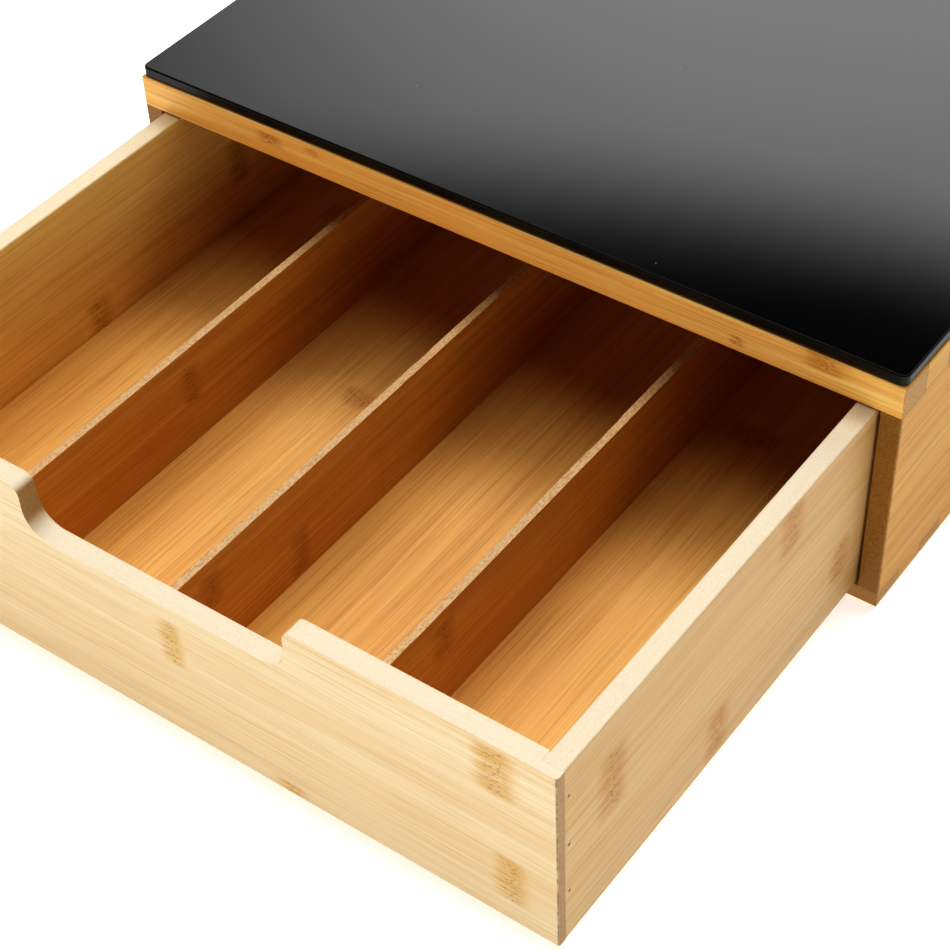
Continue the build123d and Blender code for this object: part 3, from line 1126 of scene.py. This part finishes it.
    def add_wire(self, radius: float, length: float, middle_x: float, place: Vector, turn: int = 1) -> Piece:
        """Add a cylinder along X.

        Args:
            radius: its radius.
            length: its length.
            middle_x: where its middle lies along X.
            place: where it lies along the two other axes.
            turn: -1 turns its ends round.

        Returns:
            The cylinder, selected alone.
        """
        select_only()
        bpy.ops.mesh.primitive_cylinder_add(
            vertices=16,
            radius=radius,
            depth=length,
            location=(middle_x, place.y, place.z),
            rotation=(0.0, turn * math.pi / 2, 0.0),
        )
        return bpy.context.object

    def drill(self, side: Piece, outer_x: float) -> None:
        """Cut the brads' holes into a side wall with a Boolean modifier.

        Args:
            side: the side wall.
            outer_x: its outer face.
        """
        low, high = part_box("drawer_front_brads")
        radius = (high.y - low.y) / 2
        bits = [self.add_wire(radius, 4 * self.wall, outer_x, place) for place in self.brad_places()]
        select_only(*reversed(bits))
        bpy.ops.object.join()
        cutter = bpy.context.object
        select_only(side)
        holes = side.modifiers.new("brad holes", "BOOLEAN")
        holes.operation = "DIFFERENCE"
        holes.object = cutter
        bpy.ops.object.modifier_apply(modifier=holes.name)
        bpy.data.objects.remove(cutter)

    def add_brads(self, node: str) -> None:
        """Model one wall's brads: wire with a slightly domed head and a point.

        Args:
            node: the CAD node with six plain cylinders.
        """
        low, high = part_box(node)
        radius = (high.y - low.y) / 2
        made = []
        for place in (at for at in self.brad_places() if low.y < at.y < high.y):
            for outward in (-1, 1):
                middle_x = outward * (high.x - self.brad_length / 2)
                brad = self.add_wire(radius, self.brad_length, middle_x, place, outward)
                bpy.ops.object.transform_apply(location=True, rotation=True, scale=True)
                bpy.ops.object.mode_set(mode="EDIT")
                self.shape_brad(brad, outward, radius)
                bpy.ops.object.mode_set(mode="OBJECT")
                made.append(brad)
        select_only(*made)
        bpy.ops.object.join()
        brads = bpy.context.object
        brads.name = brads.data.name = node.replace("drawer_", "wire_")
        bpy.ops.object.shade_smooth_by_angle(angle=SMOOTH)
        brads.data.materials.append(BRAD_WIRE.make())
        ride_for(brads, "drawer", BRAD_WIRE.slot, node)

    def shape_brad(self, brad: Piece, outward: int, radius: float) -> None:
        """Dome a brad's head and draw its other end to a point, in edit mode.

        Args:
            brad: the brad, a cylinder along X.
            outward: +1 if its head faces +X, else -1.
            radius: the wire's radius.
        """
        for end in (outward, -outward):
            bpy.ops.mesh.select_mode(type="FACE")
            bpy.ops.mesh.select_all(action="DESELECT")
            mesh = bmesh.from_edit_mesh(brad.data)
            for face in mesh.faces:
                face.select_set(face.normal.x * end > 0.9)
            bmesh.update_edit_mesh(brad.data)
            if end == outward:
                dome = end * self.brad_dome * radius
                bpy.ops.transform.translate(value=(-dome, 0.0, 0.0))
                bpy.ops.mesh.inset(thickness=self.brad_flat * radius)
                bpy.ops.transform.translate(value=(dome, 0.0, 0.0))
            else:
                taper = end * 2 * radius
                bpy.ops.transform.translate(value=(-taper, 0.0, 0.0))
                bpy.ops.mesh.extrude_region_move(TRANSFORM_OT_translate={"value": (taper, 0.0, 0.0)})
                self.shrink_end(brad, end)

    def shrink_end(self, brad: Piece, end: int) -> None:
        """Draw the selected end of a brad together to a blunt point.

        Args:
            brad: the brad, in edit mode.
            end: the way that its point faces along X.
        """
        mesh = bmesh.from_edit_mesh(brad.data)
        tip = max(vertex.co.x * end for vertex in mesh.verts) * end
        around = [vertex for vertex in mesh.verts if abs(vertex.co.x - tip) < NEAR]
        middle = sum((vertex.co for vertex in around), Vector()) / len(around)
        for vertex in around:
            vertex.co.yz = middle.yz + (vertex.co.yz - middle.yz) * self.brad_tip
        bmesh.update_edit_mesh(brad.data)

    def add_floor(self) -> None:
        """Model the floor, whose edges lie in the grooves of all four walls."""
        floor = Board.from_box("drawer_floor_panel", "drawer_floor", Axis.Z)
        floor.pull(self.floor_z[1] - self.floor_z[0])
        marks = marks_at((-182, -37, 8, 18), (-118, 96, 9, 20), (-96, -112, 9, 20))
        grain = Grain(Axis.Y, Axis.X, -28 * MM, 8.8, 19 * MM, marks)
        dress(floor.finish(), "drawer", BAMBOO_PLY, grain, "drawer_floor")

    def add_divider(self, node: str, grain: Grain) -> None:
        """Model a divider, whose sawn upper edge is rough, with small chips along its arrises.

        Args:
            node: the CAD node.
            grain: how its strips lie.
        """
        low, high = self.dividers[node]
        divider = Board.from_box(f"bay_{node}", node, Axis.X)
        divider.pull(high.x - low.x)
        cuts = int((high.y - low.y) / self.chip_spacing)
        divider.score(Axis.Y, [low.y + (index + 1) * (high.y - low.y) / (cuts + 1) for index in range(cuts)])
        divider.ease(
            self.divider_arris,
            lambda at: high.z - at.z < NEAR and min(at.x - low.x, high.x - at.x) < NEAR,
            2,
        )
        mesh = bmesh.from_edit_mesh(divider.piece.data)
        middle = (low.x + high.x) / 2
        for vertex in mesh.verts:
            at = vertex.co
            if high.z - at.z > 0.5 * MM or not low.y + NEAR < at.y < high.y - NEAR:
                continue
            fine = noise.noise(Vector((at.x * 900, at.y * 700, grain.seed)))
            coarse = noise.noise(Vector((at.x * 300, at.y * 120, grain.seed + 5)))
            bite = min(max(0.0, coarse - 0.25) * 0.9 + 0.16 * abs(fine), self.chip_depth / MM)
            at.z -= bite * MM
            at.x += (middle - at.x) * bite * 0.5
        bmesh.update_edit_mesh(divider.piece.data)
        dress(divider.finish(0.0), "drawer", BAMBOO_PLY, grain, node)

    def build(self) -> None:
        """Build and dress the whole drawer."""
        strip_edge, strip, thin_strip = 66.3 * MM, 24.2 * MM, 20 * MM
        front_marks = marks_at(
            (5, 54, 8, 21), (133.5, 78, 12, 22), (138, 29, 10, 21), (50, 11, 10, 5), (-112, 30, 10, 21)
        )
        front = Grain(Axis.X, Axis.Z, strip_edge, 11.3, strip, front_marks, Axis.Z, clean=self.notch_width)
        self.add_end_wall("drawer_front", 1, front, True)
        back_marks = marks_at((-70, 54), (84, 78, 11))
        back = Grain(Axis.X, Axis.Z, strip_edge, 12.9, strip, back_marks, Axis.Z)
        self.add_end_wall("drawer_back", -1, back, False)
        right_marks = marks_at(
            (-303.5, 60, 12, 30),
            (-241.5, 21, 11, 22),
            (-200.5, 80, 12, 20),
            (-163, 33, 10, 20),
            (-92, 55, 10, 22),
        )
        left_marks = marks_at((-262, 78), (-205, 30), (-118, 54))
        for node, outward, seed, marks, tint, finish in (
            # The right side wall's tint darkens and warms it against the front: painted shade for the side
            # that faces away from the light.
            ("drawer_right_side", 1, 14.6, right_marks, "E6D5BA", PALE_BAMBOO),
            # The left side wall takes the warmer copy of the pale bamboo, which is painted shade on its inner
            # face.
            ("drawer_left_side", -1, 16.4, left_marks, "FFFFFF", SHADED_PALE_BAMBOO),
        ):
            grain = Grain(Axis.Y, Axis.Z, strip_edge, seed, strip, marks, Axis.Z, tint)
            self.add_side_wall(node, outward, grain, finish)
        self.add_floor()
        for node, seed, marks in (
            ("left_divider", 18.2, marks_at((-232, 52, 8, 16))),
            ("middle_divider", 19.5, marks_at((-264.5, 36, 8, 20), (-308.5, 55, 8, 16))),
            ("right_divider", 21.7, marks_at((-283, 55, 9, 16))),
        ):
            self.add_divider(node, Grain(Axis.Y, Axis.Z, 45 * MM, seed, thin_strip, marks, Axis.Z, "F2E4BE"))
        for node in ("drawer_front_brads", "drawer_back_brads"):
            self.add_brads(node)


# ---------------------------------------------------------------------------------------------- studio


def sine(degrees: float) -> float:
    """The sine of an angle in degrees."""
    return math.sin(math.radians(degrees))


def cosine(degrees: float) -> float:
    """The cosine of an angle in degrees."""
    return math.cos(math.radians(degrees))


@dataclass(frozen=True)
class SkyPatch:
    """A bright part of the room, as seen from the box, with soft borders. Angles are in degrees.

    Attributes:
        azimuth: its middle, from the back of the box (+Y) towards its left (-X).
        half_width: how far it reaches to both sides at full strength; 180 goes all round.
        low: the elevation where it starts.
        high: the elevation where it ends.
        soft: how wide its upper and lower borders are.
        side_soft: how wide its borders at the sides are.
        strength: its radiance, where 1 is the picture's white.
        tilt: how much its upper and lower borders sink towards its left.
    """

    azimuth: float
    half_width: float
    low: float
    high: float
    soft: float
    side_soft: float
    strength: float
    tilt: float = 0.0

    def edge(self, tree: Tree, source: Node, none: float, full: float) -> Node:
        """Add a soft step from 0 to 1 between two values."""
        step = {"From Min": none, "From Max": full}
        return add(tree, "MapRange", {0: source, **step}, interpolation_type="SMOOTHSTEP")

    def add_to(self, tree: Tree, ray: Socket) -> Node:
        """Add the patch's nodes.

        Args:
            tree: the world's node tree.
            ray: the direction looked in.

        Returns:
            The patch's radiance in that direction.
        """
        left, back = sine(self.azimuth), cosine(self.azimuth)
        upright = (-back * self.tilt, -left * self.tilt, 1.0)
        height = add(tree, "VectorMath", {0: ray, 1: upright}, operation="DOT_PRODUCT")
        share = self.edge(tree, height, sine(self.low - self.soft), sine(self.low))
        if self.high < 90:
            below = self.edge(tree, height, sine(min(self.high + self.soft, 90)), sine(self.high))
            share = add(tree, "Math", {0: share, 1: below}, operation="MULTIPLY")
        if self.half_width < 180:
            level = add(tree, "VectorMath", {0: ray, 1: (1.0, 1.0, 0.0)}, operation="MULTIPLY")
            flat = add(tree, "VectorMath", {0: level}, operation="NORMALIZE")
            aside = add(tree, "VectorMath", {0: flat, 1: (-left, back, 0.0)}, operation="DOT_PRODUCT")
            outer = min(self.half_width + self.side_soft, 180)
            within = self.edge(tree, aside, cosine(outer), cosine(self.half_width))
            share = add(tree, "Math", {0: share, 1: within}, operation="MULTIPLY")
        return add(tree, "Math", {0: share, 1: self.strength}, operation="MULTIPLY")


@dataclass
class Studio:
    """The camera at the photograph's viewing angle, a white floor and soft light.

    Attributes:
        eye: where the camera stands.
        aim: the point on the floor that its axis meets.
        roll: how far it leans, in degrees.
        lens: its focal length in millimetres.
        rise: its vertical shift, as a share of the picture.
        sky: the bright parts of the room.
        floor_radius: how far the white floor reaches.
        floor_glow: what the floor gives back of the light from below.
    """

    eye: Vector
    aim: Vector
    roll: float
    lens: float
    rise: float
    sky: tuple[SkyPatch, ...]
    floor_radius: float = 6.0
    floor_glow: float = 0.4

    def add_camera(self) -> None:
        """Place the camera."""
        data = bpy.data.cameras.new("photograph_view")
        data.sensor_width = 36.0
        data.lens = self.lens
        data.shift_y = self.rise
        data.clip_start = 0.05
        camera = bpy.data.objects.new("photograph_view", data)
        bpy.context.scene.collection.objects.link(camera)
        back = (self.eye - self.aim).normalized()
        right = Vector((0.0, 0.0, 1.0)).cross(back).normalized()
        stand = Matrix((right, back.cross(right), back)).transposed().to_4x4()
        lean = Matrix.Rotation(math.radians(self.roll), 4, "Z")
        camera.matrix_world = Matrix.Translation(self.eye) @ stand @ lean
        bpy.context.scene.camera = camera

    def add_floor(self) -> None:
        """Lay the white floor, which reads as plain paper lit from below and above."""
        select_only()
        bpy.ops.mesh.primitive_circle_add(vertices=96, radius=self.floor_radius, fill_type="NGON")
        floor = bpy.context.object
        floor.name = "studio_floor"
        material, tree, shader = new_material("white_paper")
        feed(tree, shader, {"Base Color": linear("F6F6F6"), "Roughness": 0.9})
        feed(tree, shader, {"Emission Color": WHITE, "Emission Strength": self.floor_glow})
        floor.data.materials.append(material)

    def add_room(self) -> None:
        """Make the light: a large soft source overhead behind the box, a low one in front, and a dim room.

        The glass mirrors the bright wall behind the box up to some 37 degrees, and the dark above it.
        """
        world = bpy.data.worlds.new("white_room")
        bpy.context.scene.world = world
        world.use_nodes = True
        tree = world.node_tree
        ray = add(tree, "TexCoord", {}).outputs["Generated"]
        total = self.sky[0].add_to(tree, ray)
        for patch in self.sky[1:]:
            total = add(tree, "Math", {0: total, 1: patch.add_to(tree, ray)}, operation="ADD")
        feed(tree, tree.nodes["Background"], {"Color": WHITE, "Strength": total})

    def build(self) -> None:
        """Set up the whole studio."""
        self.add_camera()
        self.add_floor()
        self.add_room()
        view = bpy.context.scene.view_settings
        view.view_transform = "Standard"
        view.look = "High Contrast"


def main() -> None:
    """Load the frame and build the cabinet, the drawer and the studio in order."""
    logging.basicConfig(level=logging.INFO, format="%(name)s: %(message)s")
    bpy.ops.object.select_all(action="SELECT")
    bpy.ops.object.delete()
    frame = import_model()
    Cabinet().build(frame["nodes"])
    Drawer().build()
    Studio(
        eye=Vector((0.3735, -0.6442, 0.5730)),
        aim=Vector((0.0294, -0.2026, 0.0)),
        roll=-2.87,
        lens=82.6,
        rise=0.079,
        sky=(
            SkyPatch(0, half_width=30, low=52, high=68, soft=5, side_soft=25, strength=4.2),
            SkyPatch(70, half_width=25, low=52, high=68, soft=5, side_soft=25, strength=2.2),
            SkyPatch(0, half_width=180, low=72, high=90, soft=5, side_soft=0, strength=1.4),
            SkyPatch(180, half_width=40, low=-5, high=8, soft=5, side_soft=25, strength=2.35),
            SkyPatch(19, half_width=5, low=8, high=35.9, soft=3.8, side_soft=32, strength=2.38, tilt=0.1),
            SkyPatch(-75, half_width=25, low=15, high=45, soft=6, side_soft=25, strength=0.18),
            SkyPatch(0, half_width=180, low=-5, high=16, soft=8, side_soft=0, strength=0.35),
            SkyPatch(0, half_width=180, low=-5, high=90, soft=5, side_soft=0, strength=0.035),
        ),
    ).build()


if __name__ == "__main__":
    main()
